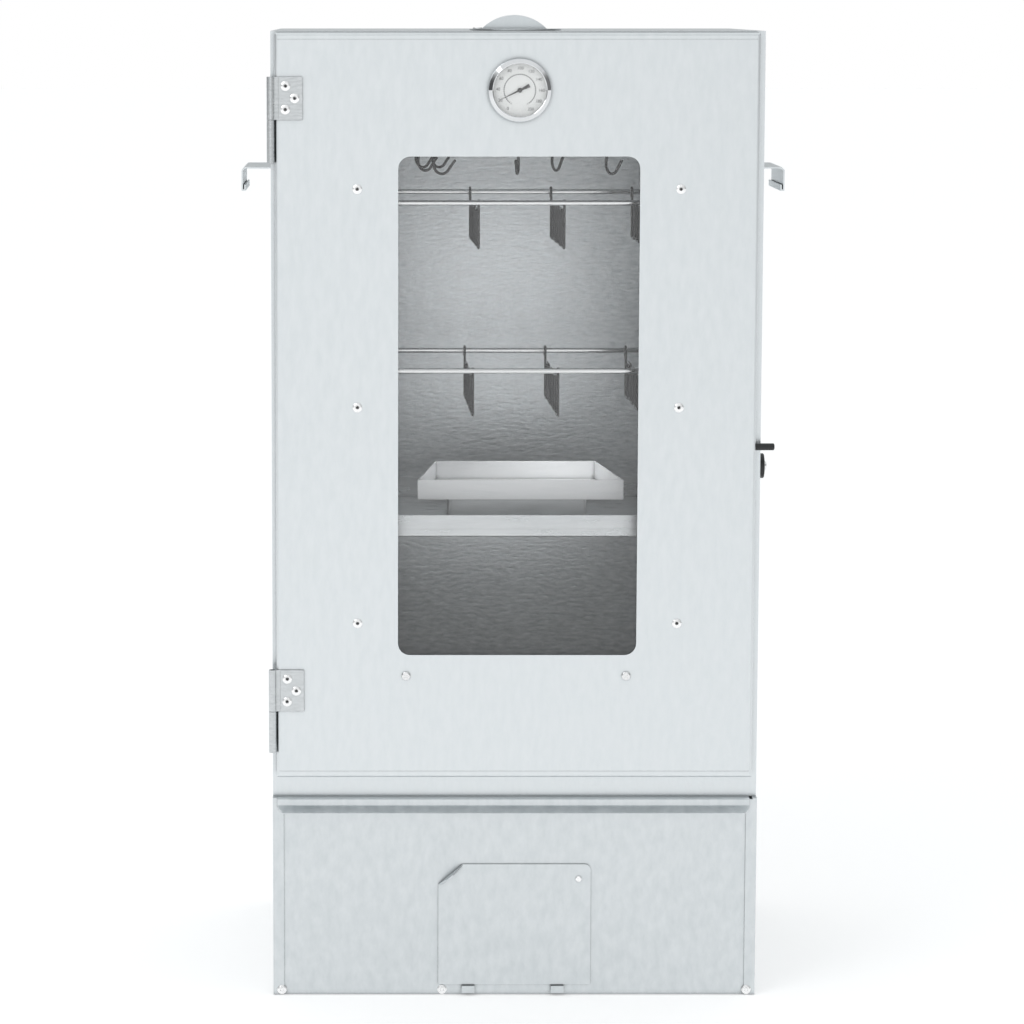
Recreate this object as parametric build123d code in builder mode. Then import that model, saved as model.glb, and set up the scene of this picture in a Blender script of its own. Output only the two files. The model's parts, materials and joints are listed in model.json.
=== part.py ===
"""Vertical water smoker: a glazed smoking cabinet of galvanised sheet on a separate fire-box base.

Millimetres. +Z up, the door faces -Y, the origin is the centre of the base's underside.
"""
import os
from math import atan2, cos, degrees, radians, sin

from build123d import *

# ---------------------------------------------------------------- driving dimensions
SHEET = 1.2                     # galvanised sheet of the walls and the door
THIN = 0.35                     # gap left between loose or moving sheets
WIDTH = 488.0                   # base and cabinet, outside
HALF = WIDTH / 2

BASE_DEPTH = 388.0
BASE_HEIGHT = 203.0
BASE_FRONT = -BASE_DEPTH / 2
BACK = BASE_DEPTH / 2           # base and cabinet are flush at the back

CABINET_DEPTH = 378.0
CABINET_FRONT = BACK - CABINET_DEPTH
CABINET_TOP = 971.0
LEDGE = 18.0                    # folded ledges and returns of the walls

DOOR_LEFT = -239.3
DOOR_RIGHT = 237.0
DOOR_BOTTOM = 227.0
DOOR_TOP = 969.5
DOOR_FRONT = CABINET_FRONT - 22.0
DOOR_DEPTH = 20.5
DOOR_BEND = 3.0                 # outer bend radius along the door's edges
HEM = 6.5                       # pressed line along the top and bottom edges of the door

WINDOW_W = 238.0
WINDOW_H = 497.0
WINDOW_X = 1.0
WINDOW_Z = 600.0
WINDOW_R = 12.0
GLASS = 4.0

HINGE_X = -243.4
HINGE_Y = DOOR_FRONT
KNUCKLE_R = 3.8
HINGE_PIN_R = 2.4
RUNNING = 0.05                  # radial clearance of every running fit
KNUCKLE_L = 42.0                # each half of a hinge
HINGE_JOINTS_Z = (884.5, 294.5)  # where the upper half sits on the lower half
LEAF = 2.0

DIAL_X = 1.0
DIAL_Z = 913.5
BEZEL_R = 31.0
CASE_R = 29.0

HOOK_ROD_Z = 930.0
HOOK_ROD_Y = (DOOR_FRONT + 65.0, DOOR_FRONT + 138.0, DOOR_FRONT + 215.0)
ROD_R = 2.65
ROD_L = 478.0
RACK_Z = (799.6, 630.2)         # rod height of the upper and the lower rack
RACK_Y = (DOOR_FRONT + 65.0, DOOR_FRONT + 285.0)
COMB_PITCH = 86.0
COMB_OFFSET = (4.4, -0.9)        # the combs of each rack are shifted by this much
COMB_WIRE = 2.6
COMB_DROP = (45.7, 48.4)         # the wire hangs a little lower at its back end
COMB_TURN = 0.9                 # degrees about the vertical
COMB_LEGS = 8

PAN_Z = 465.0
PAN_H = 22.0
PAN_FRONT = DOOR_FRONT + 40.0
PAN_BACK = DOOR_FRONT + 335.0
PAN_HALF = 224.0
STAND_X = 4.8
STAND_W = 140.0
STAND_H = 28.7
TRAY_X = 7.5
TRAY_FRONT = DOOR_FRONT + 95.0
TRAY_DEPTH = 155.0
TRAY_W_FRONT = 210.0
TRAY_W_BACK = 170.0
TRAY_H = 20.0
TRAY_SHEET = 1.0

HANDLE_Y = -11.0
HANDLE_W = 112.0
HANDLE_Z = 832.0
HANDLE_REACH = 33.5
HANDLE_SHEET = 1.5

DAMPER_Y = DOOR_FRONT + 95.0
DAMPER_R = 46.0
DAMPER_TAB = 15.0
DAMPER_PIVOT = 38.0             # pivot rivet, left of the disc's centre
SMOKE_HOLE_R = 25.0

PLATE_HALF = 77.0
PLATE_BOTTOM = 10.5
PLATE_TOP = 135.0
PLATE_CUT = (24.0, 20.5)        # bent corner, across and down
ACCESS = (66.0, 20.0, 124.0)    # opening behind the plate: half width, bottom, top

LATCH_Y = -168.0
LATCH_Z = 537.5
PULL_Y = DOOR_FRONT + 10.0
PULL_Z = 560.0
PULL_R = 3.5

RIVET_R = 2.0
RIVET_HEAD_R = 4.75
RIVET_HEAD = 1.2

os.makedirs("parts", exist_ok=True)


def keep(piece, label):
    """Label a finished piece and write it."""
    piece.part.label = label
    export_step(piece.part, f"parts/{label}.step")


def rivet_plane(x, y, z, out):
    """Plane on a sheet's outer face, its normal pointing out of the sheet."""
    across = (0, 0, 1) if abs(out[2]) < 0.5 else (1, 0, 0)
    return Plane(origin=(x, y, z), x_dir=across, z_dir=out)


# ---------------------------------------------------------------- shared rivet shape
with BuildPart() as rivet:
    with BuildSketch(Plane.XZ) as rivet_half:
        with BuildLine():
            Polyline(
                (0, 0), (RIVET_HEAD_R, 0), (RIVET_HEAD_R, 0.35), (3.5, 0.95), (1.9, RIVET_HEAD),
                (1.4, 0.6), (0, 0.6), (0, 0),
            )
        make_face()
    revolve(axis=Axis.Z)
RIVET = rivet.part


def rivets(label, places):
    """One node of identical rivets; places are (x, y, z, outward direction)."""
    with BuildPart() as group:
        for x, y, z, out in places:
            add(RIVET.moved(Location(rivet_plane(x, y, z, out))))
    keep(group, label)


# ---------------------------------------------------------------- fire-box base
SKIRT_NOTCH = 239.6             # the front return is cut away under the skirt up to here


def wall(sign, front, bottom, top, front_return, label, ledge=False):
    """A side wall folded inwards at the front and the back; the base's also carries a top ledge."""
    back = BACK
    with BuildPart() as side:
        with BuildSketch(Plane.XY.offset(bottom)):
            outer = sign * HALF
            inner = sign * (HALF - SHEET)
            with BuildLine():
                Polyline(
                    (outer, front), (outer, back), (outer - sign * LEDGE, back),
                    (outer - sign * LEDGE, back - SHEET), (inner, back - SHEET),
                    (inner, front + SHEET), (outer - sign * front_return, front + SHEET),
                    (outer - sign * front_return, front), (outer, front),
                )
            make_face()
        extrude(amount=top - bottom)
        if ledge:
            shelf_front = front + 15
            with Locations((sign * (SKIRT_NOTCH + HALF) / 2, front + 8, top - SHEET / 2)):
                Box(HALF - SKIRT_NOTCH, 16, SHEET)
            shelf_back = back - 2 * SHEET
            with Locations((sign * (HALF - 10), (shelf_front + shelf_back) / 2, top - SHEET / 2)):
                Box(20, shelf_back - shelf_front, SHEET)
            with Locations((sign * (SKIRT_NOTCH - 10), front, top)):
                Box(20, 4 * SHEET, 2 * SHEET, mode=Mode.SUBTRACT)
    keep(side, label)


BASE_WALL_TOP = BASE_HEIGHT - SHEET      # the front panel stops under the skirt
for sign, name in ((-1, "left"), (1, "right")):
    wall(sign, BASE_FRONT, 0, BASE_HEIGHT, 11.0, f"base_side_{name}", ledge=True)

with BuildPart() as base_back_panel:
    with Locations((0, BACK - 1.5 * SHEET, BASE_HEIGHT / 2)):
        Box(WIDTH - 2 * SHEET, SHEET, BASE_HEIGHT)
keep(base_back_panel, "base_back_panel")

with BuildPart() as base_floor:
    with Locations((0, 0, 6)):
        Box(WIDTH - 2 * SHEET, BASE_DEPTH - 4 * SHEET, 12)
    offset(amount=-SHEET, openings=faces().sort_by(Axis.Z)[-1])
keep(base_floor, "base_floor")

LUG_X = (-46.7, 43.6)
LUG_W = 13.0
with BuildPart() as base_front_panel:
    with Locations((0, BASE_FRONT + 1.5 * SHEET, BASE_WALL_TOP / 2)):
        Box(WIDTH - 2 * SHEET, SHEET, BASE_WALL_TOP)
    half_w, low, high = ACCESS
    with BuildSketch(Plane.XZ.offset(-BASE_FRONT)):
        with Locations((0, (low + high) / 2)):
            RectangleRounded(2 * half_w, high - low, 5)
    extrude(amount=-4 * SHEET, mode=Mode.SUBTRACT)
    panel_face = BASE_FRONT + SHEET
    for lug_x in LUG_X:
        with BuildSketch(Plane.YZ.offset(lug_x - LUG_W / 2)):
            with BuildLine():
                Polyline(
                    (panel_face + 0.3, 9.6), (panel_face - 4.2, 9.6), (panel_face - 5.2, 8.6),
                    (panel_face - 5.2, 2.4), (panel_face - 4.0, 2.4), (panel_face - 4.0, 8.4),
                    (panel_face + 0.3, 8.4), (panel_face + 0.3, 9.6),
                )
            make_face()
        extrude(amount=LUG_W)
keep(base_front_panel, "base_front_panel")

SKIRT_Y = BASE_FRONT - SHEET
SKIRT_BACK = BASE_FRONT + 14
SKIRT_FLARE = (8.0, 6.0)
SKIRT_LEFT = -239.3
SKIRT_RIGHT = 236.4
with BuildPart() as base_skirt:
    with BuildSketch(Plane.YZ.offset(SKIRT_LEFT)):
        crease = 195.8
        flare_y, flare_z = SKIRT_FLARE
        with BuildLine():
            Polyline(
                (SKIRT_BACK, BASE_HEIGHT), (SKIRT_Y + 1.2, BASE_HEIGHT),
                (SKIRT_Y, BASE_HEIGHT - 1.2), (SKIRT_Y, crease),
                (SKIRT_Y - flare_y, crease - flare_z), (SKIRT_Y - flare_y + 0.7, crease - flare_z - 0.9),
                (BASE_FRONT, crease - 0.7), (BASE_FRONT, BASE_WALL_TOP),
                (SKIRT_BACK, BASE_WALL_TOP), (SKIRT_BACK, BASE_HEIGHT),
            )
        make_face()
    extrude(amount=SKIRT_RIGHT - SKIRT_LEFT)
    mitre = 5.0
    for end, turn in ((SKIRT_LEFT, 1), (SKIRT_RIGHT, -1)):
        with BuildSketch(Plane.XY.offset(BASE_HEIGHT + 1)):
            with BuildLine():
                Polyline(
                    (end - turn, SKIRT_Y), (end, SKIRT_Y), (end + turn * mitre, SKIRT_Y - flare_y),
                    (end + turn * mitre, SKIRT_Y - flare_y - 1), (end - turn, SKIRT_Y - flare_y - 1),
                    (end - turn, SKIRT_Y),
                )
            make_face()
        extrude(amount=-20, mode=Mode.SUBTRACT)
keep(base_skirt, "base_skirt")

PLATE_Y = BASE_FRONT + SHEET - THIN - SHEET     # front face of the access plate
with BuildPart() as access_flap:
    cut_x, cut_z = PLATE_CUT
    with BuildSketch(Plane.XZ.offset(-PLATE_Y)):
        with BuildLine():
            Line((-PLATE_HALF, PLATE_BOTTOM), (PLATE_HALF, PLATE_BOTTOM))
            Line((PLATE_HALF, PLATE_BOTTOM), (PLATE_HALF, PLATE_TOP - 6))
            RadiusArc((PLATE_HALF, PLATE_TOP - 6), (PLATE_HALF - 6, PLATE_TOP), -6)
            Line((PLATE_HALF - 6, PLATE_TOP), (cut_x - PLATE_HALF, PLATE_TOP))
            Line((cut_x - PLATE_HALF, PLATE_TOP), (-PLATE_HALF, PLATE_TOP - cut_z))
            Line((-PLATE_HALF, PLATE_TOP - cut_z), (-PLATE_HALF, PLATE_BOTTOM))
        make_face()
    extrude(amount=-SHEET)
    diagonal = Vector(cut_x, 0, cut_z)
    corner = Plane(
        origin=(-PLATE_HALF, PLATE_Y + SHEET, PLATE_TOP - cut_z),
        x_dir=diagonal, z_dir=Vector(cut_z, 0, -cut_x),
    )
    with BuildSketch(corner):
        length = diagonal.length
        with BuildLine():
            Polyline((0, 0), (length, 0), (length, SHEET), (length / 2 + 3, 13), (length / 2 - 3, 13),
                     (0, SHEET), (0, 0))
        make_face()
    extrude(amount=SHEET)
keep(access_flap, "access_flap")

CATCH_X = 64.7
CATCH_Z = 120.0
with BuildPart() as flap_catch:
    with Locations(Location(Plane(origin=(CATCH_X, PLATE_Y, CATCH_Z), z_dir=(0, -1, 0)))):
        Cylinder(3.1, 1.6, align=(Align.CENTER, Align.CENTER, Align.MIN))
    fillet(edges().filter_by(GeomType.CIRCLE).sort_by(Axis.Y)[0], 0.9)
keep(flap_catch, "flap_catch")

EMBER_W = 120.0
EMBER_L = 250.0
EMBER_H = 42.0
EMBER_Y = 5.0
with BuildPart() as ember_tray:
    with Locations((0, EMBER_Y, 2 * SHEET + THIN + EMBER_H / 2)):
        Box(EMBER_W, EMBER_L, EMBER_H)
    fillet(edges().filter_by(Axis.Z), 6)
    offset(amount=-SHEET, openings=faces().sort_by(Axis.Z)[-1])
keep(ember_tray, "ember_tray")

# ---------------------------------------------------------------- cabinet walls
for sign, name in ((-1, "left"), (1, "right")):
    wall(sign, CABINET_FRONT, BASE_HEIGHT, CABINET_TOP - SHEET, LEDGE - 2, f"cabinet_side_{name}")

with BuildPart() as cabinet_back:
    height = CABINET_TOP - SHEET - BASE_HEIGHT
    with Locations((0, BACK - 1.5 * SHEET, BASE_HEIGHT + height / 2)):
        Box(WIDTH - 2 * SHEET, SHEET, height)
keep(cabinet_back, "cabinet_back")

with BuildPart() as cabinet_top:
    with Locations((0, (CABINET_FRONT + BACK) / 2, CABINET_TOP - SHEET / 2)):
        Box(WIDTH, CABINET_DEPTH, SHEET)
    with Locations((0, DAMPER_Y, CABINET_TOP)):
        Cylinder(SMOKE_HOLE_R, 4 * SHEET, mode=Mode.SUBTRACT)
keep(cabinet_top, "cabinet_top")

FRAME_X = HALF - (LEDGE - 2)
for label, low, high in (("front_sill", BASE_HEIGHT, 238.0), ("front_header", 935.0, CABINET_TOP - SHEET)):
    with BuildPart() as rail:
        with BuildSketch(Plane.YZ.offset(-FRAME_X)):
            flange = 14.0
            face_y = CABINET_FRONT + SHEET
            edge = high if label == "front_sill" else low
            step = -SHEET if label == "front_sill" else SHEET
            with BuildLine():
                Polyline(
                    (CABINET_FRONT, low), (CABINET_FRONT, high), (face_y, high), (face_y, low),
                    (CABINET_FRONT, low),
                )
            make_face()
            with BuildLine():
                Polyline(
                    (CABINET_FRONT, edge), (CABINET_FRONT + flange, edge),
                    (CABINET_FRONT + flange, edge + step), (CABINET_FRONT, edge + step),
                    (CABINET_FRONT, edge),
                )
            make_face()
        extrude(amount=2 * FRAME_X)
    keep(rail, label)

# ---------------------------------------------------------------- carrying handles
for sign, name in ((-1, "left"), (1, "right")):
    with BuildPart() as handle:
        root = sign * HALF
        out = sign * (HALF + HANDLE_REACH)
        gauge = sign * HANDLE_SHEET
        lip_z = HANDLE_Z - 24.2
        with BuildSketch(Plane.XZ.offset(-(HANDLE_Y - HANDLE_W / 2))):
            with BuildLine():
                Polyline(
                    (root, HANDLE_Z - 34), (root, HANDLE_Z), (out - 2 * gauge, HANDLE_Z),
                    (out, HANDLE_Z - 2 * HANDLE_SHEET), (out, lip_z), (out - 2.8 * gauge, lip_z),
                    (out - 2.8 * gauge, lip_z + 6.2), (out - 1.8 * gauge, lip_z + 6.2),
                    (out - 1.8 * gauge, lip_z + 1.5), (out - gauge, lip_z + 1.5),
                    (out - gauge, HANDLE_Z - 2.4 * HANDLE_SHEET),
                    (out - 2.4 * gauge, HANDLE_Z - HANDLE_SHEET), (root + gauge, HANDLE_Z - HANDLE_SHEET),
                    (root + gauge, HANDLE_Z - 34), (root, HANDLE_Z - 34),
                )
            make_face()
        extrude(amount=-HANDLE_W)
    keep(handle, f"handle_{name}")

# ---------------------------------------------------------------- lift-off hinges
with BuildPart() as hinge_frame_halves:
    for joint_z in HINGE_JOINTS_Z:
        with BuildSketch(Plane.XY.offset(joint_z - KNUCKLE_L)):
            with Locations((HINGE_X, HINGE_Y)):
                Circle(KNUCKLE_R)
            leaf_start = HINGE_Y + 2.7
            leaf_end = CABINET_FRONT + 34
            with Locations((-HALF - LEAF / 2, (leaf_start + leaf_end) / 2)):
                Rectangle(LEAF, leaf_end - leaf_start)
            with Locations((HINGE_X, HINGE_Y)):
                Circle(HINGE_PIN_R, mode=Mode.SUBTRACT)
        extrude(amount=KNUCKLE_L - THIN)
keep(hinge_frame_halves, "hinge_frame_halves")

with BuildPart() as hinge_pins:
    for joint_z in HINGE_JOINTS_Z:
        with Locations((HINGE_X, HINGE_Y, joint_z - KNUCKLE_L + 1)):
            Cylinder(HINGE_PIN_R, 2 * KNUCKLE_L - 6, align=(Align.CENTER, Align.CENTER, Align.MIN))
keep(hinge_pins, "hinge_pins")

DOOR_LEAF_RIGHT = -212.0
with BuildPart() as hinge_door_halves:
    for joint_z in HINGE_JOINTS_Z:
        with BuildSketch(Plane.XY.offset(joint_z)):
            with Locations((HINGE_X, HINGE_Y)):
                Circle(KNUCKLE_R)
            plate_w = DOOR_LEAF_RIGHT - HINGE_X
            with Locations((HINGE_X + plate_w / 2, DOOR_FRONT - LEAF / 2)):
                Rectangle(plate_w, LEAF)
            with Locations((HINGE_X, HINGE_Y)):
                Circle(HINGE_PIN_R + RUNNING, mode=Mode.SUBTRACT)
        extrude(amount=KNUCKLE_L)
        with Locations((HINGE_X + KNUCKLE_R + 2.2, DOOR_FRONT - LEAF, joint_z + KNUCKLE_L / 2)):
            Box(4.4, 1.6, KNUCKLE_L, mode=Mode.SUBTRACT)
keep(hinge_door_halves, "hinge_door_halves")

HINGE_RIVET_X = (-228.6, -219.6, -228.8)
HINGE_RIVET_DZ = (33.0, 21.0, 10.0)
rivets("hinge_door_rivets", [
    (x, DOOR_FRONT - LEAF, joint_z + dz, (0, -1, 0))
    for joint_z in HINGE_JOINTS_Z for x, dz in zip(HINGE_RIVET_X, HINGE_RIVET_DZ)
])

# ---------------------------------------------------------------- rods, racks and their rails
RAIL_T = 1.0
RAIL_LIP_X = 236.0              # inner lip that carries the rods


def saddle_rail(sign, rod_z, rod_ys, back_y):
    """A Z-section rail on a side wall, its inner lip notched for the rods."""
    front_y = rod_ys[0] - 20
    wall_x = sign * (HALF - SHEET)
    lip_x = sign * RAIL_LIP_X
    ledge_z = rod_z - 14
    with BuildPart() as rail:
        with BuildSketch(Plane.XZ.offset(-front_y)):
            with BuildLine():
                Polyline(
                    (wall_x, ledge_z - 16), (wall_x, ledge_z), (lip_x + sign * RAIL_T, ledge_z),
                    (lip_x + sign * RAIL_T, rod_z + 2), (lip_x, rod_z + 2),
                    (lip_x, ledge_z - RAIL_T), (wall_x - sign * RAIL_T, ledge_z - RAIL_T),
                    (wall_x - sign * RAIL_T, ledge_z - 16), (wall_x, ledge_z - 16),
                )
            make_face()
        extrude(amount=-(back_y - front_y))
        for rod_y in rod_ys:
            with Locations(Location(Plane(origin=(lip_x, rod_y, rod_z), z_dir=(1, 0, 0)))):
                Cylinder(ROD_R + THIN, 6, mode=Mode.SUBTRACT)
            with Locations((lip_x, rod_y, rod_z + 5)):
                Box(6, 2 * (ROD_R + THIN), 10, mode=Mode.SUBTRACT)
    return rail.part


with BuildPart() as hook_rails:
    for sign in (-1, 1):
        add(saddle_rail(sign, HOOK_ROD_Z, HOOK_ROD_Y, HOOK_ROD_Y[-1] + 20))
keep(hook_rails, "hook_rails")

with BuildPart() as rack_rails:
    for rod_z in RACK_Z:
        for sign in (-1, 1):
            add(saddle_rail(sign, rod_z, RACK_Y, RACK_Y[-1] + 20))
keep(rack_rails, "rack_rails")


def rods(label, rod_z, rod_ys, length):
    """Round rods across the cabinet."""
    with BuildPart() as group:
        for rod_y in rod_ys:
            with Locations(Location(Plane(origin=(0, rod_y, rod_z), z_dir=(1, 0, 0)))):
                Cylinder(ROD_R, length)
    keep(group, label)


rods("hook_rods", HOOK_ROD_Z, HOOK_ROD_Y, ROD_L)


def comb(x, rod_z):
    """A serpentine wire hooked over the back rod and butted against the back of the front rod."""
    wire_r = COMB_WIRE / 2
    over = rod_z + ROD_R + wire_r + 0.2
    mid = rod_z - 9
    front_y, back_y = RACK_Y
    reach = ROD_R + wire_r + 0.6
    first = front_y + ROD_R + wire_r + 0.1
    last = back_y - reach
    pitch = (last - first) / (COMB_LEGS - 1)
    points = [(first, rod_z + 3)]
    for leg in range(COMB_LEGS):
        y = first + leg * pitch
        low = rod_z - COMB_DROP[0] - (COMB_DROP[1] - COMB_DROP[0]) * leg / (COMB_LEGS - 1)
        if leg % 2:
            points += [(y, low), (y, over if leg == COMB_LEGS - 1 else mid)]
        elif leg:
            points += [(y, mid), (y, low)]
        else:
            points.append((y, low))
    points += [(back_y + reach, over), (back_y + reach, rod_z - 6)]
    with BuildPart() as wire:
        with BuildLine(Plane.YZ.offset(x)) as path:
            FilletPolyline(*points, radius=3.0)
        with BuildSketch(Plane(origin=path.line @ 0, z_dir=path.line % 0)):
            Circle(wire_r)
        sweep(path=path.line)
    middle = Axis((x, (front_y + back_y) / 2, 0), (0, 0, 1))
    return wire.part.rotate(middle, COMB_TURN)


for rack, rod_z, shift in zip(("upper", "lower"), RACK_Z, COMB_OFFSET):
    rods(f"{rack}_rack_rods", rod_z, RACK_Y, ROD_L)
    with BuildPart() as combs:
        for station in (-1.5, -0.5, 0.5, 1.5):
            add(comb(station * COMB_PITCH + shift, rod_z))
    keep(combs, f"{rack}_rack_combs")

# ---------------------------------------------------------------- S-hooks
HOOK_WIRE_R = 1.4
HOOK_TOP_R = 9.0
HOOK_LOW_R = 10.0
HOOK_TIP = 13.5                 # straight end of the lower bend
HOOK_H = 108.6


def s_hook(label, x, rod_y, turn):
    """An S-hook over a rod, turned about the vertical and balanced below the rod."""
    top_z = ROD_R + HOOK_WIRE_R + THIN
    high = top_z - HOOK_TOP_R
    low = top_z - HOOK_H + 2 * HOOK_WIRE_R + HOOK_LOW_R
    lean = degrees(atan2(HOOK_TOP_R + HOOK_LOW_R, high - low))

    def shape(tilt):
        yaw = Plane(origin=(x, rod_y, HOOK_ROD_Z), x_dir=(cos(radians(turn)), sin(radians(turn)), 0),
                    z_dir=(sin(radians(turn)), -cos(radians(turn)), 0))
        with BuildPart() as hook:
            with BuildLine(yaw.rotated((0, 0, tilt))) as path:
                upper = CenterArc((0, high), HOOK_TOP_R, 205, -205 - lean)
                lower = CenterArc((0, low), HOOK_LOW_R, 180 - lean, 140 + lean)
                Line(upper @ 1, lower @ 0)
                Line(lower @ 1, lower @ 1 + (lower % 1) * HOOK_TIP)
            with BuildSketch(Plane(origin=path.line @ 0, z_dir=path.line % 0)):
                Circle(HOOK_WIRE_R)
            sweep(path=path.line)
        return hook

    trial = shape(0).part.center(CenterOf.MASS)
    sag = Vector(trial.X - x, trial.Y - rod_y, trial.Z - HOOK_ROD_Z)
    along = sag.X * cos(radians(turn)) + sag.Y * sin(radians(turn))
    hook = shape(-degrees(atan2(along, -sag.Z)))
    keep(hook, label)


HOOKS = (
    (-89.8, 1, -44), (-91.5, 2, -44), (-74.2, 0, -36), (-74.5, 2, -44),
    (1.6, 0, -98), (43.8, 1, -68), (96.2, 0, -57),
)
for number, (x, rod, turn) in enumerate(HOOKS, start=1):
    s_hook(f"s_hook_{number}", x, HOOK_ROD_Y[rod], turn)

# ---------------------------------------------------------------- drip pan, stand and water tray
PAN_RAIL = 28.0
with BuildPart() as pan_rails:
    for sign in (-1, 1):
        wall_x = sign * (HALF - SHEET)
        with BuildSketch(Plane.XZ.offset(-PAN_FRONT)):
            with BuildLine():
                Polyline(
                    (wall_x, PAN_Z - 18), (wall_x, PAN_Z - THIN), (wall_x - sign * PAN_RAIL, PAN_Z - THIN),
                    (wall_x - sign * PAN_RAIL, PAN_Z - THIN - SHEET), (wall_x - sign * SHEET, PAN_Z - THIN - SHEET),
                    (wall_x - sign * SHEET, PAN_Z - 18), (wall_x, PAN_Z - 18),
                )
            make_face()
        extrude(amount=-(PAN_BACK - PAN_FRONT + 40))
keep(pan_rails, "pan_rails")

PAN_HEM = 13.6
with BuildPart() as drip_pan:
    with Locations((0, (PAN_FRONT + PAN_BACK) / 2, PAN_Z + PAN_H / 2)):
        Box(2 * PAN_HALF, PAN_BACK - PAN_FRONT, PAN_H)
    fillet(edges().filter_by(Axis.X).group_by(Axis.Z)[0], 2.0)
    offset(amount=-1.0, openings=faces().sort_by(Axis.Z)[-1])
    with Locations((0, PAN_FRONT - 0.45, PAN_Z + PAN_H - PAN_HEM / 2)):
        Box(2 * PAN_HALF, 0.9, PAN_HEM)
keep(drip_pan, "drip_pan")

STAND_FRONT = TRAY_FRONT + 6
STAND_BACK = TRAY_FRONT + TRAY_DEPTH - 20
STAND_Z = PAN_Z + 1.0 + THIN
with BuildPart() as tray_stand:
    with Locations((STAND_X, (STAND_FRONT + STAND_BACK) / 2, STAND_Z + STAND_H / 2)):
        Box(STAND_W, STAND_BACK - STAND_FRONT, STAND_H)
    offset(amount=-TRAY_SHEET, openings=faces().sort_by(Axis.Z)[0])
    with Locations((STAND_X, STAND_BACK, STAND_Z + STAND_H / 2)):
        Box(STAND_W - 40, 8, STAND_H - 8, mode=Mode.SUBTRACT)
    for sign in (-1, 1):
        with Locations((STAND_X + sign * (STAND_W / 2 - 0.8), STAND_FRONT - 0.4, STAND_Z + STAND_H / 2)):
            Box(1.6, 0.8, STAND_H)
keep(tray_stand, "tray_stand")

TRAY_Z = STAND_Z + STAND_H + THIN
TRAY_BACK = TRAY_FRONT + TRAY_DEPTH


with BuildPart() as water_tray:
    front = TRAY_W_FRONT / 2
    back = TRAY_W_BACK / 2
    with BuildSketch(Plane.XY.offset(TRAY_Z)):
        with BuildLine():
            Polyline(
                (TRAY_X - front, TRAY_FRONT), (TRAY_X + front, TRAY_FRONT),
                (TRAY_X + back, TRAY_BACK), (TRAY_X - back, TRAY_BACK),
                (TRAY_X - front, TRAY_FRONT),
            )
        make_face()
    extrude(amount=TRAY_H)
    offset(amount=-TRAY_SHEET, openings=faces().sort_by(Axis.Z)[-1])
keep(water_tray, "water_tray")

# ---------------------------------------------------------------- smoke damper
DAMPER_Z = CABINET_TOP + THIN
with BuildPart() as damper_disc:
    chord_y = DAMPER_R - DAMPER_TAB
    with BuildSketch(Plane.XY.offset(DAMPER_Z)):
        with Locations((0, DAMPER_Y)):
            Circle(DAMPER_R)
        with Locations((0, DAMPER_Y + chord_y + DAMPER_R)):
            Rectangle(2 * DAMPER_R + 2, 2 * DAMPER_R, mode=Mode.SUBTRACT)
        with Locations((-DAMPER_PIVOT, DAMPER_Y)):
            Circle(RIVET_R + RUNNING, mode=Mode.SUBTRACT)
    extrude(amount=SHEET)
    with BuildSketch(Plane.XZ.offset(-(DAMPER_Y + chord_y))):
        with Locations((0, DAMPER_Z + 0.01 - chord_y)):
            Circle(DAMPER_R)
        with Locations((0, DAMPER_Z - DAMPER_R)):
            Rectangle(2 * DAMPER_R + 2, 2 * DAMPER_R, mode=Mode.SUBTRACT)
    extrude(amount=SHEET)
keep(damper_disc, "damper_disc")

with BuildPart() as damper_rivet:
    with Locations((-DAMPER_PIVOT, DAMPER_Y, CABINET_TOP)):
        Cylinder(RIVET_R, SHEET + 2 * THIN, align=(Align.CENTER, Align.CENTER, Align.MIN))
    with Locations((-DAMPER_PIVOT, DAMPER_Y, DAMPER_Z + SHEET + THIN)):
        Cylinder(RIVET_HEAD_R, RIVET_HEAD, align=(Align.CENTER, Align.CENTER, Align.MIN))
    fillet(edges().filter_by(GeomType.CIRCLE).sort_by(Axis.Z)[-1], 0.8)
keep(damper_rivet, "damper_rivet")

# ---------------------------------------------------------------- door
DOOR_W = DOOR_RIGHT - DOOR_LEFT
DOOR_H = DOOR_TOP - DOOR_BOTTOM
DOOR_X = (DOOR_LEFT + DOOR_RIGHT) / 2
DOOR_Z = (DOOR_BOTTOM + DOOR_TOP) / 2
STEM_R = 4.0
with BuildPart() as door_skin:
    with Locations((DOOR_X, DOOR_FRONT + DOOR_DEPTH / 2, DOOR_Z)):
        Box(DOOR_W, DOOR_DEPTH, DOOR_H)
    fillet(faces().sort_by(Axis.Y)[0].edges(), DOOR_BEND)
    offset(amount=-SHEET, openings=faces().sort_by(Axis.Y)[-1])
    with BuildSketch(Plane.XZ.offset(-DOOR_FRONT)):
        with Locations((WINDOW_X, WINDOW_Z)):
            RectangleRounded(WINDOW_W, WINDOW_H, WINDOW_R)
        with Locations((DIAL_X, DIAL_Z)):
            Circle(STEM_R + THIN)
    extrude(amount=-3 * SHEET, mode=Mode.SUBTRACT)
    groove = 0.8
    for line_z in (DOOR_TOP - HEM, DOOR_BOTTOM + HEM):
        with Locations((DOOR_X, DOOR_FRONT, line_z)):
            Box(DOOR_W - 2 * DOOR_BEND, 0.6, groove, mode=Mode.SUBTRACT)
keep(door_skin, "door_skin")

SKIN_BACK = DOOR_FRONT + SHEET
GLASS_W = WINDOW_W + 34
GLASS_BOTTOM = WINDOW_Z - WINDOW_H / 2 - 10
GLASS_TOP = WINDOW_Z + WINDOW_H / 2 + 12
with BuildPart() as window_glass:
    with Locations((WINDOW_X, SKIN_BACK + THIN + GLASS / 2, (GLASS_BOTTOM + GLASS_TOP) / 2)):
        Box(GLASS_W, GLASS, GLASS_TOP - GLASS_BOTTOM)
keep(window_glass, "window_glass")

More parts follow.
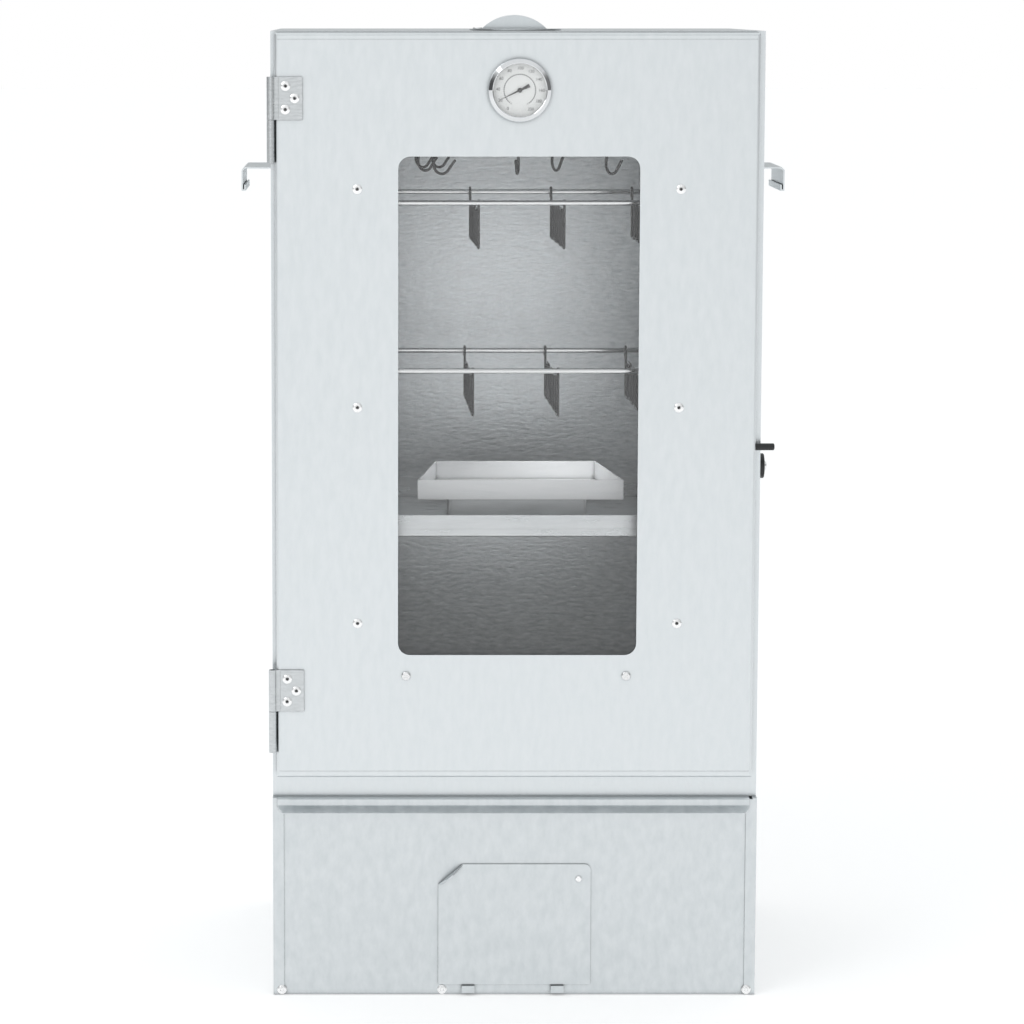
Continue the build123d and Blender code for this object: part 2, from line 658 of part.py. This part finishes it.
RAIL_GAP = THIN + GLASS + THIN
for sign, name in ((-1, "left"), (1, "right")):
    with BuildPart() as glass_rail:
        foot = WINDOW_X + sign * (GLASS_W / 2 + 0.5)
        far = WINDOW_X + sign * 171
        lip = WINDOW_X + sign * (GLASS_W / 2 - 11)
        with BuildSketch(Plane.XY.offset(GLASS_BOTTOM)):
            with BuildLine():
                Polyline(
                    (far, SKIN_BACK), (foot, SKIN_BACK), (foot, SKIN_BACK + RAIL_GAP),
                    (lip, SKIN_BACK + RAIL_GAP), (lip, SKIN_BACK + RAIL_GAP + RAIL_T),
                    (foot + sign * RAIL_T, SKIN_BACK + RAIL_GAP + RAIL_T),
                    (foot + sign * RAIL_T, SKIN_BACK + RAIL_T), (far, SKIN_BACK + RAIL_T),
                    (far, SKIN_BACK),
                )
            make_face()
        extrude(amount=GLASS_TOP - GLASS_BOTTOM)
    keep(glass_rail, f"glass_rail_{name}")

STOP_Z = 330.5
with BuildPart() as glass_rail_bottom:
    with BuildSketch(Plane.YZ.offset(WINDOW_X - 122)):
        with BuildLine():
            Polyline(
                (SKIN_BACK, STOP_Z - 8), (SKIN_BACK, GLASS_BOTTOM - 0.5),
                (SKIN_BACK + RAIL_GAP, GLASS_BOTTOM - 0.5), (SKIN_BACK + RAIL_GAP, GLASS_BOTTOM + 7),
                (SKIN_BACK + RAIL_GAP + RAIL_T, GLASS_BOTTOM + 7),
                (SKIN_BACK + RAIL_GAP + RAIL_T, GLASS_BOTTOM - 0.5 - RAIL_T),
                (SKIN_BACK + RAIL_T, GLASS_BOTTOM - 0.5 - RAIL_T), (SKIN_BACK + RAIL_T, STOP_Z - 8),
                (SKIN_BACK, STOP_Z - 8),
            )
        make_face()
    extrude(amount=244)
keep(glass_rail_bottom, "glass_rail_bottom")

rivets("glass_rail_rivets", [
    (WINDOW_X + sign * 159.3, DOOR_FRONT, z, (0, -1, 0))
    for sign in (-1, 1) for z in (816.5, 600.3, 383.6)
])

with BuildPart() as glass_stop_screws:
    for x in (-110.0, 110.0):
        with Locations(Location(Plane(origin=(x, DOOR_FRONT, STOP_Z), z_dir=(0, -1, 0)))):
            Cylinder(4.6, 2.4, align=(Align.CENTER, Align.CENTER, Align.MIN))
    fillet(edges().filter_by(GeomType.CIRCLE).group_by(Axis.Y)[0], 1.6)
    for x in (-110.0, 110.0):
        with Locations(Location(Plane(origin=(x, DOOR_FRONT - 2.4, STOP_Z), x_dir=(1, 0, 1), z_dir=(0, -1, 0)))):
            Box(5.2, 1.0, 2.0, mode=Mode.SUBTRACT)
            Box(1.0, 5.2, 2.0, mode=Mode.SUBTRACT)
keep(glass_stop_screws, "glass_stop_screws")

with BuildPart() as door_pull:
    with Locations(Location(Plane(origin=(DOOR_RIGHT, PULL_Y, PULL_Z), z_dir=(1, 0, 0)))):
        Cylinder(PULL_R, 19.5, align=(Align.CENTER, Align.CENTER, Align.MIN))
    fillet(edges().filter_by(GeomType.CIRCLE).sort_by(Axis.X)[-1], 1.5)
keep(door_pull, "door_pull")

# ---------------------------------------------------------------- thermometer
FACE = Plane(origin=(DIAL_X, DOOR_FRONT, DIAL_Z), x_dir=(1, 0, 0), z_dir=(0, -1, 0))
CASE_H = 9.0
DIAL_AT = 4.0
SPINDLE_R = 0.9
HUB_R = 2.4


def turned(outline, label):
    """A ring or disc turned about the thermometer's axis; outline is (radius, height) points."""
    with BuildPart() as blank:
        with BuildSketch(Plane.XZ):
            with BuildLine():
                Polyline(*outline, outline[0])
            make_face()
        revolve(axis=Axis.Z)
    with BuildPart() as piece:
        add(blank.part.moved(Location(FACE)))
    keep(piece, label)


turned(((SPINDLE_R + RUNNING, 0), (CASE_R, 0), (CASE_R, CASE_H), (CASE_R - 1.2, CASE_H), (CASE_R - 1.2, 1.2),
        (SPINDLE_R + RUNNING, 1.2)), "thermometer_case")
turned(((SPINDLE_R + 0.3, DIAL_AT), (CASE_R - 1.3, DIAL_AT), (CASE_R - 1.3, DIAL_AT + 0.6),
        (SPINDLE_R + 0.3, DIAL_AT + 0.6)), "thermometer_dial")
turned(((0, CASE_H - 1.3), (CASE_R - 1.3, CASE_H - 1.3), (CASE_R - 1.3, CASE_H), (0, CASE_H)),
       "thermometer_lens")
turned(((CASE_R + 0.05, 1.5), (BEZEL_R - 0.6, 1.5), (BEZEL_R, 3.0), (BEZEL_R, 7.4), (BEZEL_R - 0.6, 8.6),
        (BEZEL_R - 4.1, 11.0), (BEZEL_R - 4.8, 10.6), (26.0, 9.6), (26.0, CASE_H + 0.05),
        (CASE_R + 0.05, CASE_H + 0.05)), "thermometer_bezel")

POINTER_CLOCK = 206.0           # direction of the pointer, degrees from +X towards +Z
with BuildPart() as needle:
    with BuildSketch(Plane.XY.offset(DIAL_AT + 1.1)):
        with BuildLine():
            Polyline((22.0, 0), (4, 0.75), (-3, 1.0), (-10.5, 1.9), (-10.5, -1.9), (-3, -1.0), (4, -0.75),
                     (22.0, 0))
        make_face()
        Circle(HUB_R)
    extrude(amount=0.5)
    with Locations((0, 0, DIAL_AT + 1.1)):
        Cylinder(1.7, 1.4, align=(Align.CENTER, Align.CENTER, Align.MIN))
    with Locations((0, 0, 0.3)):
        Cylinder(SPINDLE_R, DIAL_AT + 1.0, align=(Align.CENTER, Align.CENTER, Align.MIN))
with BuildPart() as thermometer_pointer:
    add(needle.part.rotate(Axis.Z, POINTER_CLOCK).moved(Location(FACE)))
keep(thermometer_pointer, "thermometer_pointer")

with BuildPart() as thermometer_stem:
    with Locations(Location(Plane(origin=(DIAL_X, DOOR_FRONT, DIAL_Z), z_dir=(0, 1, 0)))):
        Cylinder(STEM_R, 12, align=(Align.CENTER, Align.CENTER, Align.MIN))
        Cylinder(2.5, 42, align=(Align.CENTER, Align.CENTER, Align.MIN))
keep(thermometer_stem, "thermometer_stem")

with BuildPart() as thermometer_nut:
    with BuildSketch(Plane.XZ.offset(-SKIN_BACK)):
        with Locations((DIAL_X, DIAL_Z)):
            RegularPolygon(8.0, 6)
            Circle(STEM_R + RUNNING, mode=Mode.SUBTRACT)
    extrude(amount=-4)
keep(thermometer_nut, "thermometer_nut")

# ---------------------------------------------------------------- side latch
LEVER_GAP = 0.4
LEVER_T = 4.6
BOSS_R = 12.5
REACH = ((PULL_Y - LATCH_Y) ** 2 + (PULL_Z - LATCH_Z) ** 2) ** 0.5
SLOT = PULL_R + 0.7
with BuildPart() as lever_blank:
    with BuildSketch(Plane.XY):
        Circle(BOSS_R)
        with Locations((REACH / 2 + 4, 0)):
            Rectangle(REACH + 8, 13)
        with Locations((REACH + 1, 0)):
            Circle(9.0)
        with Locations((REACH, 0)):
            Circle(SLOT, mode=Mode.SUBTRACT)
        with Locations((REACH, 7)):
            Rectangle(2 * SLOT, 14, mode=Mode.SUBTRACT)
        Circle(RIVET_R + RUNNING, mode=Mode.SUBTRACT)
    extrude(amount=LEVER_T)
    fillet(edges().filter_by(GeomType.CIRCLE).group_by(Axis.Z)[-1].sort_by(SortBy.LENGTH)[-1], 1.2)
LEVER_PLANE = Plane(origin=(HALF + LEVER_GAP, LATCH_Y, LATCH_Z), x_dir=(0, 1, 0), z_dir=(1, 0, 0))
with BuildPart() as latch_lever:
    add(lever_blank.part.moved(Location(LEVER_PLANE)))
keep(latch_lever, "latch_lever")

with BuildPart() as latch_screw:
    with Locations(Location(Plane(origin=(HALF, LATCH_Y, LATCH_Z), z_dir=(1, 0, 0)))):
        Cylinder(RIVET_R, LEVER_GAP + LEVER_T + THIN, align=(Align.CENTER, Align.CENTER, Align.MIN))
    with Locations(Location(Plane(origin=(HALF + LEVER_GAP + LEVER_T + THIN, LATCH_Y, LATCH_Z),
                                  z_dir=(1, 0, 0)))):
        Cylinder(4.5, 2.2, align=(Align.CENTER, Align.CENTER, Align.MIN))
    fillet(edges().filter_by(GeomType.CIRCLE).sort_by(Axis.X)[-1], 1.5)
keep(latch_screw, "latch_screw")

# ---------------------------------------------------------------- rivets of the body
BODY_RIVETS = [(x, BASE_FRONT, 5.0, (0, -1, 0)) for x in (-235.4, 235.4)]
BODY_RIVETS += [(-73.1, BASE_FRONT + SHEET, 4.9, (0, -1, 0))]
for sign in (-1, 1):
    out = (sign, 0, 0)
    BODY_RIVETS += [(sign * (HALF - LEDGE / 2), BACK, z, (0, 1, 0)) for z in (30, 170, 240, 480, 720, 940)]
    BODY_RIVETS += [
        (sign * (HALF + HANDLE_SHEET), HANDLE_Y + y, HANDLE_Z - 25, out) for y in (-42, 42)
    ]
for joint_z in HINGE_JOINTS_Z:
    BODY_RIVETS += [
        (-HALF - LEAF, CABINET_FRONT + y, joint_z - z, (-1, 0, 0))
        for y, z in ((12, 10), (24, 21), (12, 33))
    ]
rivets("body_rivets", BODY_RIVETS)
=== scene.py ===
import json
import math

import bpy
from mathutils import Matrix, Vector


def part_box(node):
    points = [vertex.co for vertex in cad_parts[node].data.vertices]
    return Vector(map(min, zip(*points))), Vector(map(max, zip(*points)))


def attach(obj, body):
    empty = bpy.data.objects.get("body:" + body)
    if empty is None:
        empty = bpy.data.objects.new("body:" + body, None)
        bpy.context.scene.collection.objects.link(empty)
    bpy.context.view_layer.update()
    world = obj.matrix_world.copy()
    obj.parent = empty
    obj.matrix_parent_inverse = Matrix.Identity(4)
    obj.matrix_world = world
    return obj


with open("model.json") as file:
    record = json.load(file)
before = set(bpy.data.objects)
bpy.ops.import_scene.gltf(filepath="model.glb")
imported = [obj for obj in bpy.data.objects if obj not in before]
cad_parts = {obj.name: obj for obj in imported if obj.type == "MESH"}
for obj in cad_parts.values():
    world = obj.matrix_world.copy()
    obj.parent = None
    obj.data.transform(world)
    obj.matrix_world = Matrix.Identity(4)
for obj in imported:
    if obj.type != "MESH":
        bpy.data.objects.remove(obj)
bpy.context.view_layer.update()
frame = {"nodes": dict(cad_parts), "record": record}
NODES = frame["nodes"]

# ------------------------------------------------------------------ camera
EYE = Vector((-0.1346, -3.7434, 0.9955))
PITCH = 0.1232
FOCAL = 126.27               # for a 36 mm sensor
SHIFT = (0.1276, -0.06)


def make_camera():
    data = bpy.data.cameras.new("camera")
    data.sensor_width = 36.0
    data.lens = FOCAL
    data.shift_x, data.shift_y = SHIFT
    data.clip_start = 0.1
    data.clip_end = 80.0
    cam = bpy.data.objects.new("camera", data)
    cam.location = EYE
    cam.rotation_euler = (math.radians(90) - PITCH, 0.0, 0.0)
    bpy.context.scene.collection.objects.link(cam)
    bpy.context.scene.camera = cam


# ------------------------------------------------------------------ materials
BUMP_DEPTH = 0.0006          # metres
PAINTED_SHADE_REACH = 0.006         # how far from a fold or gap the painted shade reaches, metres
PAINTED_SHADE_SPAN = (0.15, 0.80)   # occlusion values that count as full painted shade and as no shade
# colour of the shade painted into folds, gaps and joins between parts
PAINTED_SHADE_COLOR = (0.02, 0.022, 0.024)


def principled(name, color, metallic=0.0, roughness=0.5, **sockets):
    mat = bpy.data.materials.new(name)
    mat.use_nodes = True
    shader = mat.node_tree.nodes["Principled BSDF"]
    shader.inputs["Base Color"].default_value = (*color, 1.0)
    shader.inputs["Metallic"].default_value = metallic
    shader.inputs["Roughness"].default_value = roughness
    for socket, value in sockets.items():
        shader.inputs[socket].default_value = value
    return mat


def noise(mat, stretch, scale, detail=3.0, roughness=0.55):
    """A noise texture in the object's own space, stretched per axis."""
    nodes, links = mat.node_tree.nodes, mat.node_tree.links
    place = nodes.new("ShaderNodeTexCoord")
    mapping = nodes.new("ShaderNodeMapping")
    mapping.inputs["Scale"].default_value = stretch
    tex = nodes.new("ShaderNodeTexNoise")
    tex.inputs["Scale"].default_value = scale
    tex.inputs["Detail"].default_value = detail
    tex.inputs["Roughness"].default_value = roughness
    links.new(place.outputs["Object"], mapping.inputs["Vector"])
    links.new(mapping.outputs["Vector"], tex.inputs["Vector"])
    return tex.outputs["Fac"]


def ramp(mat, source, low, high, start=0.3, end=0.7):
    """Turns a grey value into a colour between two colours."""
    nodes, links = mat.node_tree.nodes, mat.node_tree.links
    node = nodes.new("ShaderNodeValToRGB")
    node.color_ramp.elements[0].position = start
    node.color_ramp.elements[1].position = end
    node.color_ramp.elements[0].color = (*low, 1.0)
    node.color_ramp.elements[1].color = (*high, 1.0)
    links.new(source, node.inputs["Fac"])
    return node.outputs["Color"]


def remap(mat, source, low, high, start=0.3, end=0.7):
    """Scales a value between start and end to low..high."""
    nodes, links = mat.node_tree.nodes, mat.node_tree.links
    node = nodes.new("ShaderNodeMapRange")
    node.inputs["From Min"].default_value = start
    node.inputs["From Max"].default_value = end
    node.inputs["To Min"].default_value = low
    node.inputs["To Max"].default_value = high
    links.new(source, node.inputs["Value"])
    return node.outputs["Result"]


def sheet(name, dark, light, rough, stretch, scale, bump=0.0, metallic=1.0):
    """Sheet metal: a faint mottle in colour and gloss along one direction, and shade painted dark into its
    folds and gaps.
    """
    mat = principled(name, light, metallic=metallic)
    links = mat.node_tree.links
    shader = mat.node_tree.nodes["Principled BSDF"]
    grain = noise(mat, stretch, scale)
    # ambient occlusion paints shade into the base colour near folds, gaps and neighbouring parts
    painted_shade = mat.node_tree.nodes.new("ShaderNodeAmbientOcclusion")
    painted_shade.samples = 4
    painted_shade.inputs["Distance"].default_value = PAINTED_SHADE_REACH
    shade = mat.node_tree.nodes.new("ShaderNodeMix")
    shade.data_type = "RGBA"
    shade.inputs["A"].default_value = (*PAINTED_SHADE_COLOR, 1.0)
    links.new(remap(mat, painted_shade.outputs["AO"], 0.0, 1.0, *PAINTED_SHADE_SPAN), shade.inputs["Factor"])
    links.new(ramp(mat, grain, dark, light), shade.inputs["B"])
    links.new(shade.outputs["Result"], shader.inputs["Base Color"])
    links.new(remap(mat, grain, rough[0], rough[1]), shader.inputs["Roughness"])
    if bump:
        node = mat.node_tree.nodes.new("ShaderNodeBump")
        node.inputs["Strength"].default_value = bump
        node.inputs["Distance"].default_value = BUMP_DEPTH
        links.new(grain, node.inputs["Height"])
        links.new(node.outputs["Normal"], shader.inputs["Normal"])
    return mat


VERTICAL = (3.0, 3.0, 1.0)
MATERIALS = {
    "cabinet_sheet": sheet("galvanised_cabinet", (0.70, 0.735, 0.75), (0.76, 0.79, 0.805), (0.30, 0.40),
                           VERTICAL, 48.0, 0.06),
    "base_sheet": sheet("galvanised_base", (0.63, 0.665, 0.68), (0.72, 0.75, 0.765), (0.32, 0.42),
                        (2.0, 2.0, 1.0), 60.0, 0.10),
    "door_sheet": sheet("galvanised_door", (0.70, 0.735, 0.75), (0.755, 0.785, 0.80), (0.30, 0.40),
                        VERTICAL, 44.0, 0.06),
    "inner_sheet": sheet("galvanised_inside", (0.62, 0.66, 0.68), (0.88, 0.905, 0.92), (0.30, 0.44),
                         (1.0, 1.0, 3.0), 95.0, 0.55),
    "rail_sheet": sheet("rail_steel", (0.68, 0.70, 0.71), (0.74, 0.76, 0.77), (0.32, 0.42), VERTICAL, 22.0),
    "hinge_steel": sheet("zinc_hinge", (0.50, 0.52, 0.53), (0.64, 0.66, 0.67), (0.18, 0.28),
                         (2.0, 2.0, 8.0), 60.0),
    "pan_steel": sheet("pan_steel", (0.53, 0.55, 0.56), (0.63, 0.65, 0.66), (0.25, 0.36),
                       (1.0, 6.0, 6.0), 24.0),
    "tray_steel": sheet("tray_steel", (0.76, 0.775, 0.785), (0.84, 0.85, 0.86), (0.30, 0.40),
                        (1.0, 6.0, 6.0), 24.0, metallic=0.45),
    "stand_steel": sheet("stand_steel", (0.60, 0.62, 0.63), (0.70, 0.72, 0.73), (0.28, 0.38),
                         (1.0, 6.0, 6.0), 24.0),
    "rivet_aluminium": principled("rivet_aluminium", (0.93, 0.93, 0.93), metallic=0.9, roughness=0.22),
    "screw_steel": principled("screw_steel", (0.80, 0.80, 0.80), metallic=1.0, roughness=0.24),
    "rod_steel": principled("polished_rod", (0.78, 0.79, 0.79), metallic=1.0, roughness=0.12),
    "wire_steel": principled("dark_wire", (0.035, 0.036, 0.038), metallic=0.5, roughness=0.22),
    "window_glass": principled("window_glass", (1.0, 1.0, 1.0), roughness=0.02, Alpha=0.05),
    "dial_glass": principled("dial_glass", (1.0, 1.0, 1.0), roughness=0.02, Alpha=0.06),
    "bezel_chrome": principled("bezel_chrome", (0.72, 0.73, 0.74), metallic=1.0, roughness=0.06),
    "thermometer_steel": principled("thermometer_steel", (0.55, 0.55, 0.56), metallic=1.0, roughness=0.3),
    "dial_face": principled("dial_face", (0.84, 0.85, 0.84), roughness=0.45),
    "pointer_black": principled("pointer_black", (0.03, 0.03, 0.03), roughness=0.4),
    "black_plastic": principled("black_plastic", (0.012, 0.013, 0.014), roughness=0.35),
}
INK = principled("dial_ink", (0.06, 0.06, 0.065), roughness=0.6)
# the mandrel's near-black colour is painted shade of the rivet's hollow centre, over the real steel mandrel
MANDREL_SHADE = principled("rivet_mandrel_and_shade", (0.05, 0.05, 0.05), metallic=0.6, roughness=0.4)


def assign_materials():
    slots = {s["node"]: s["material_slot"] for s in frame["record"]["subparts"]}
    for name, obj in NODES.items():
        obj.data.materials.clear()
        obj.data.materials.append(MATERIALS[slots[name]])


# ------------------------------------------------------------------ small pieces
def mesh_piece(name, verts, faces, mat, body):
    data = bpy.data.meshes.new(name)
    data.from_pydata(verts, [], faces)
    data.materials.append(mat)
    obj = bpy.data.objects.new(name, data)
    bpy.context.scene.collection.objects.link(obj)
    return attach(obj, body)


def dial_point(radius, angle, y):
    """A point on the dial; the angle runs anticlockwise from +X, in degrees."""
    a = math.radians(angle)
    return (DIAL_X + radius * math.cos(a), y, DIAL_Z + radius * math.sin(a))


DIAL_LOW, DIAL_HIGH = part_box("thermometer_dial")
DIAL_X = (DIAL_LOW.x + DIAL_HIGH.x) / 2
DIAL_Z = (DIAL_LOW.z + DIAL_HIGH.z) / 2
DIAL_FACE = DIAL_LOW.y - 0.00008     # the print lies just off the dial
INNER_RING = (0.0153, 0.0157)
INNER_TICK = (0.0146, 0.0163)
OUTER_TICK = (0.0251, 0.0269)
FINE_TICK = (0.0259, 0.0269)
NUMBER_RADIUS, NUMBER_SIZE = 0.0214, 0.0042
SCALE_START, SCALE_END, SCALE_STEPS = 237.0, -60.0, 10


def scale_angle(fraction):
    return SCALE_START + (SCALE_END - SCALE_START) * fraction


def ring_arc(name, r0, r1, a0, a1, y, mat, steps=90):
    verts, faces = [], []
    for i in range(steps + 1):
        angle = a0 + (a1 - a0) * i / steps
        verts += [dial_point(r0, angle, y), dial_point(r1, angle, y)]
    for i in range(steps):
        faces.append((2 * i, 2 * i + 1, 2 * i + 3, 2 * i + 2))
    return mesh_piece(name, verts, faces, mat, "door")


def ticks(name, r0, r1, half_width, count, y, mat):
    verts, faces = [], []
    for i in range(count + 1):
        angle = scale_angle(i / count)
        a = math.radians(angle)
        side = Vector((-math.sin(a), 0.0, math.cos(a))) * half_width
        inner, outer = Vector(dial_point(r0, angle, y)), Vector(dial_point(r1, angle, y))
        start = len(verts)
        verts += [tuple(inner - side), tuple(outer - side), tuple(outer + side), tuple(inner + side)]
        faces.append((start, start + 1, start + 2, start + 3))
    return mesh_piece(name, verts, faces, mat, "door")


def number(text, radius, angle, size):
    data = bpy.data.curves.new("dial_number_" + text, "FONT")
    data.body = text
    data.size = size
    data.align_x = "CENTER"
    data.align_y = "CENTER"
    data.materials.append(INK)
    obj = bpy.data.objects.new("dial_number_" + text, data)
    obj.location = dial_point(radius, angle, DIAL_FACE)
    obj.rotation_euler = (math.radians(90), 0.0, 0.0)
    bpy.context.scene.collection.objects.link(obj)
    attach(obj, "door")


def dial_graphics():
    ring_arc("dial_inner_ring", *INNER_RING, SCALE_START - 8, SCALE_END + 8, DIAL_FACE, INK)
    ticks("dial_fine_ticks", *FINE_TICK, 0.00008, 50, DIAL_FACE, INK)
    ticks("dial_main_ticks", *OUTER_TICK, 0.00016, SCALE_STEPS, DIAL_FACE, INK)
    ticks("dial_inner_ticks", *INNER_TICK, 0.00022, 4 * SCALE_STEPS, DIAL_FACE, INK)
    for step in range(SCALE_STEPS + 1):
        number(str(step * 20), NUMBER_RADIUS, scale_angle(step / SCALE_STEPS), NUMBER_SIZE)


def disc(name, centre, normal, radius, mat, body, steps=20):
    """A small flat disc facing along normal."""
    normal = Vector(normal)
    u = normal.orthogonal().normalized()
    v = normal.cross(u)
    verts = [tuple(Vector(centre))]
    for i in range(steps):
        a = 2 * math.pi * i / steps
        verts.append(tuple(Vector(centre) + radius * (math.cos(a) * u + math.sin(a) * v)))
    faces = [(0, 1 + i, 1 + (i + 1) % steps) for i in range(steps)]
    return mesh_piece(name, verts, faces, mat, body)


def islands(obj):
    """The lowest and highest corners of each of a node's separate solids."""
    mesh = obj.data
    parent = list(range(len(mesh.vertices)))

    def find(i):
        while parent[i] != i:
            parent[i] = parent[parent[i]]
            i = parent[i]
        return i

    for edge in mesh.edges:
        a, b = find(edge.vertices[0]), find(edge.vertices[1])
        parent[a] = b
    places = {}
    for v in mesh.vertices:
        key = tuple(round(c, 5) for c in v.co)
        places.setdefault(key, []).append(v.index)
    for group in places.values():
        for other in group[1:]:
            parent[find(other)] = find(group[0])
    groups = {}
    for v in mesh.vertices:
        groups.setdefault(find(v.index), []).append(v.co)
    boxes = []
    for points in groups.values():
        lo = Vector([min(p[i] for p in points) for i in range(3)])
        hi = Vector([max(p[i] for p in points) for i in range(3)])
        boxes.append((lo, hi))
    return boxes


MANDREL_R = 0.00135
MANDREL_SINK = 0.00065       # in front of the rivet head's back face


def rivet_mandrels():
    """The sunk mandrel in each blind rivet on the door's face, coloured near black as painted shade of the
    rivet's hollow.
    """
    for node in ("glass_rail_rivets", "hinge_door_rivets"):
        for i, (lo, hi) in enumerate(islands(NODES[node])):
            centre = ((lo.x + hi.x) / 2, hi.y - MANDREL_SINK, (lo.z + hi.z) / 2)
            disc(f"{node}_mandrel_{i}", centre, (0, -1, 0), MANDREL_R, MANDREL_SHADE, "door")


# ------------------------------------------------------------------ studio
def area_light(name, place, aim, size, power, mirrored=True):
    data = bpy.data.lights.new(name, "AREA")
    data.shape = "RECTANGLE"
    data.size, data.size_y = size
    data.energy = power
    obj = bpy.data.objects.new(name, data)
    obj.location = place
    obj.rotation_euler = (Vector(aim) - Vector(place)).to_track_quat("-Z", "Y").to_euler()
    obj.visible_camera = False
    obj.visible_glossy = mirrored
    bpy.context.scene.collection.objects.link(obj)


WORLD_LIGHT = 0.56             # strength of the sky by direction
FLAG_LIGHT = 0.10
TOP_LIGHT = 0.40
FLOOR_GLOW = 0.33
FLOOR_HALF = 40.0            # metres
FLOOR_DROP = 0.0005


def world_strength(nodes, links):
    """Even light from the front and above, falling off to dark flags at the left and the right."""
    place = nodes.new("ShaderNodeTexCoord")
    split = nodes.new("ShaderNodeSeparateXYZ")
    links.new(place.outputs["Generated"], split.inputs["Vector"])
    side = nodes.new("ShaderNodeMath")
    side.operation = "ABSOLUTE"
    links.new(split.outputs["X"], side.inputs[0])
    flags = nodes.new("ShaderNodeMapRange")
    flags.interpolation_type = "SMOOTHSTEP"
    flags.inputs["From Min"].default_value = 0.72
    flags.inputs["From Max"].default_value = 0.90
    flags.inputs["To Min"].default_value = WORLD_LIGHT
    flags.inputs["To Max"].default_value = FLAG_LIGHT
    links.new(side.outputs["Value"], flags.inputs["Value"])
    top = nodes.new("ShaderNodeMapRange")
    top.interpolation_type = "SMOOTHSTEP"
    top.inputs["From Min"].default_value = 0.35
    top.inputs["From Max"].default_value = 0.85
    top.inputs["To Min"].default_value = 0.0
    top.inputs["To Max"].default_value = TOP_LIGHT
    links.new(split.outputs["Z"], top.inputs["Value"])
    total = nodes.new("ShaderNodeMath")
    total.operation = "ADD"
    links.new(flags.outputs["Result"], total.inputs[0])
    links.new(top.outputs["Result"], total.inputs[1])
    return total.outputs["Value"]


def studio():
    world = bpy.data.worlds.new("studio")
    world.use_nodes = True
    nodes, links = world.node_tree.nodes, world.node_tree.links
    nodes.clear()
    out = nodes.new("ShaderNodeOutputWorld")
    mix = nodes.new("ShaderNodeMixShader")
    path = nodes.new("ShaderNodeLightPath")
    lit = nodes.new("ShaderNodeBackground")
    seen = nodes.new("ShaderNodeBackground")
    lit.inputs["Color"].default_value = (0.97, 0.99, 1.0, 1.0)
    links.new(world_strength(nodes, links), lit.inputs["Strength"])
    seen.inputs["Color"].default_value = (1.0, 1.0, 1.0, 1.0)
    seen.inputs["Strength"].default_value = 1.0
    links.new(path.outputs["Is Camera Ray"], mix.inputs["Fac"])
    links.new(lit.outputs["Background"], mix.inputs[1])
    links.new(seen.outputs["Background"], mix.inputs[2])
    links.new(mix.outputs["Shader"], out.inputs["Surface"])
    bpy.context.scene.world = world
    bpy.context.scene.view_settings.view_transform = "Standard"
    bpy.context.scene.view_settings.look = "None"

    floor_mat = principled("floor_white", (0.90, 0.90, 0.90), roughness=0.9)
    shader = floor_mat.node_tree.nodes["Principled BSDF"]
    shader.inputs["Specular IOR Level"].default_value = 0.0
    shader.inputs["Emission Color"].default_value = (1.0, 1.0, 1.0, 1.0)
    shader.inputs["Emission Strength"].default_value = FLOOR_GLOW
    corners = [(x * FLOOR_HALF, y * FLOOR_HALF, 0) for x, y in ((-1, -1), (1, -1), (1, 1), (-1, 1))]
    data = bpy.data.meshes.new("floor")
    data.from_pydata(corners, [], [(0, 1, 2, 3)])
    data.materials.append(floor_mat)
    floor = bpy.data.objects.new("floor", data)
    floor.location.z = -FLOOR_DROP
    bpy.context.scene.collection.objects.link(floor)

    area_light("key_left", (-2.2, -2.6, 2.9), (0, 0, 0.7), (2.0, 2.0), 21.0)
    area_light("front_fill", (-0.2, -4.6, 1.7), (0, 0, 0.5), (3.0, 2.4), 8.0)
    area_light("right_fill", (3.0, -1.2, 1.8), (0, 0, 0.5), (1.6, 2.4), 1.5)
    area_light("tray_glow", (0.05, -0.02, 0.57), (-0.02, 0.06, 0.44), (0.16, 0.08), 0.15, mirrored=False)


make_camera()
assign_materials()
dial_graphics()
rivet_mandrels()
studio()
bpy.context.view_layer.update()
